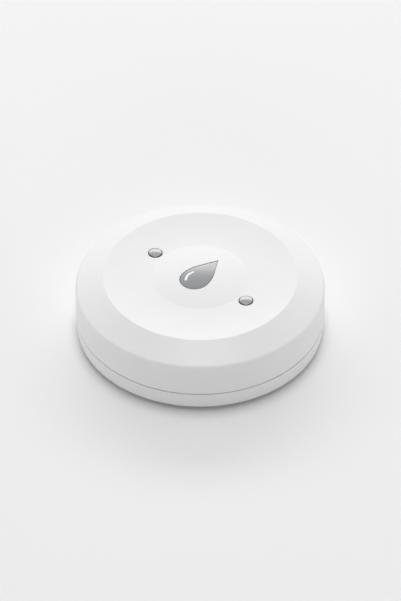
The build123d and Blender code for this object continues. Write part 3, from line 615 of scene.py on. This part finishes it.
def add_feet():
    """Rubber feet with a rounded edge and a shallow dish in the face that they stand on."""
    slope = FOOT_DISH_RADIUS + FOOT_DISH_SLOPE
    profile = [(0, FOOT_TOP_Z), (FOOT_RADIUS, FOOT_TOP_Z)]
    profile += arc_points((FOOT_RADIUS - FOOT_ROUND, FOOT_ROUND), FOOT_ROUND, 0, -90)
    profile += [(slope, 0), (FOOT_DISH_RADIUS, FOOT_DISH_DEPTH), (0, FOOT_DISH_DEPTH)]
    places = [(FOOT_CIRCLE * math.cos(math.radians(a)), FOOT_CIRCLE * math.sin(math.radians(a)))
              for a in FOOT_TURNS]
    turned_piece("rubber_pads", profile, places, MATERIALS["foot_rubber"], "case", "rubber_feet")


def dome_z(x, y):
    """Height of the dome's surface."""
    rise = DOME_TOP_Z - VALLEY_Z
    sphere = (DOME_RADIUS ** 2 + rise ** 2) / (2 * rise)
    return DOME_TOP_Z - sphere + math.sqrt(sphere ** 2 - x ** 2 - y ** 2)


def drop_ring(inset):
    """The drop's outline, moved inwards: from the tip down its right side, round the bulb and back up."""
    half = DROP_HALF_WIDTH - inset
    reach = DROP_REACH - inset / math.sin(DROP_LEAN)
    side = (reach * math.tan(DROP_LEAN) - half) / (1 / math.cos(DROP_LEAN) - 1)
    right = [(0.0, DROP_BULB_Y + reach)]
    for k in range(DROP_SIDE_STEPS + 1):
        angle = DROP_LEAN * (1 - k / DROP_SIDE_STEPS)
        right.append((half - side * (1 - math.cos(angle)), DROP_BULB_Y + side * math.sin(angle)))
    bulb = []
    for k in range(1, DROP_BULB_STEPS):
        angle = -math.pi * k / DROP_BULB_STEPS
        bulb.append((half * math.cos(angle), DROP_BULB_Y + half * math.sin(angle)))
    left = [(-x, y) for x, y in right[:0:-1]]
    return right + bulb + left


def lens_fall(inset):
    """How far the lens lies below its plain surface, at a distance inside its outline."""
    fall = LENS_RIM_FALL * max(0.0, 1 - inset / LENS_RIM) ** 2
    if inset < LENS_EDGE:
        fall += LENS_EDGE_FALL * (1 - math.sqrt(1 - (1 - inset / LENS_EDGE) ** 2))
    return fall


def lens_rings():
    """The outline at the lens's underside, then the rings of its surface from the outline inwards."""
    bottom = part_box("drop_lens")[0].z
    rings = [[(x, y, bottom) for x, y in drop_ring(0)]]
    for inset_mm in LENS_RINGS:
        inset = inset_mm * MM
        rings.append([(x, y, dome_z(x, y) - LENS_RECESS - lens_fall(inset)) for x, y in drop_ring(inset)])
    return rings


def add_drop_lens():
    """Glossy drop with a rounded dark edge, which follows the dome's curve."""
    rings = lens_rings()
    count = len(rings[0])
    vertices = [point for ring in rings for point in ring]
    faces = []
    for r in range(len(rings) - 1):
        for k in range(count):
            n = (k + 1) % count
            faces.append((r * count + n, r * count + k, (r + 1) * count + k, (r + 1) * count + n))
    inner = (len(rings) - 1) * count
    middle = len(vertices)
    vertices.append((0, DROP_BULB_Y, dome_z(0, DROP_BULB_Y) - LENS_RECESS))
    for k in range(count):
        faces.append((inner + (k + 1) % count, inner + k, middle))
    faces.append(tuple(range(count)))
    piece = add_piece("drop_window", vertices, faces, [MATERIALS["lens_grey"], LENS_EDGE_MATERIAL],
                      "drop_key", "drop_lens")
    edge_rings = sum(1 for inset_mm in LENS_RINGS if inset_mm * MM <= LENS_EDGE)
    for polygon in piece.data.polygons[:edge_rings * count]:
        polygon.material_index = 1


def stroke_stations():
    """Places along the highlight's arc with its half width at each; its ends are round."""
    thin, thick = HIGHLIGHT_HALF_WIDTHS
    end = HIGHLIGHT_START + HIGHLIGHT_SWEEP
    turns = [math.radians(angle) for angle in HIGHLIGHT_END_TURNS]
    stations = [(HIGHLIGHT_START - thin * math.sin(turn) / HIGHLIGHT_RADIUS, thin * math.cos(turn))
                for turn in reversed(turns)]
    for k in range(HIGHLIGHT_STEPS + 1):
        share = k / HIGHLIGHT_STEPS
        stations.append((HIGHLIGHT_START + share * HIGHLIGHT_SWEEP, thin + (thick - thin) * share))
    stations += [(end + thick * math.sin(turn) / HIGHLIGHT_RADIUS, thick * math.cos(turn)) for turn in turns]
    return stations


def add_highlight():
    """White curved stroke that thins towards its upper end, inlaid in the drop."""
    stations = stroke_stations()
    vertices, faces = [], []
    for angle, half in stations:
        for column in HIGHLIGHT_COLUMNS:
            radius = HIGHLIGHT_RADIUS + half * column
            x = HIGHLIGHT_CENTRE.x + radius * math.cos(angle)
            y = HIGHLIGHT_CENTRE.y + radius * math.sin(angle)
            rise = HIGHLIGHT_CROWN * (1 - column ** 2) if abs(column) < 1 else -HIGHLIGHT_DEPTH
            vertices.append((x, y, dome_z(x, y) - LENS_RECESS + rise))
    width = len(HIGHLIGHT_COLUMNS)
    for s in range(len(stations) - 1):
        for c in range(width):
            corner = s * width + c
            beside = s * width + (c + 1) % width
            faces.append((corner, beside, beside + width, corner + width))
    faces.append(tuple(range(width - 1, -1, -1)))
    faces.append(tuple(range((len(stations) - 1) * width, len(stations) * width)))
    add_piece("drop_glint", vertices, faces, [MATERIALS["highlight_white"]], "drop_key", "drop_highlight")


def add_floor():
    """A plain pale floor under the object."""
    near, far = -FLOOR_HALF, FLOOR_HALF
    mesh = bpy.data.meshes.new("floor")
    mesh.from_pydata([(near, near, 0), (far, near, 0), (far, far, 0), (near, far, 0)], [], [(0, 1, 2, 3)])
    floor = bpy.data.objects.new("floor", mesh)
    scene.collection.objects.link(floor)
    mesh.materials.append(moulded("floor_paper", (0.93, 0.93, 0.93), (0.6, 0.7), grain_mm=2.0, depth_mm=0.01,
                                  cloud_mm=60.0, variation=0.003, edge_mm=0))


add_upper_probes()
add_lower_probes()
add_feet()
add_drop_lens()
add_highlight()
add_floor()

scene.view_settings.view_transform = "Standard"
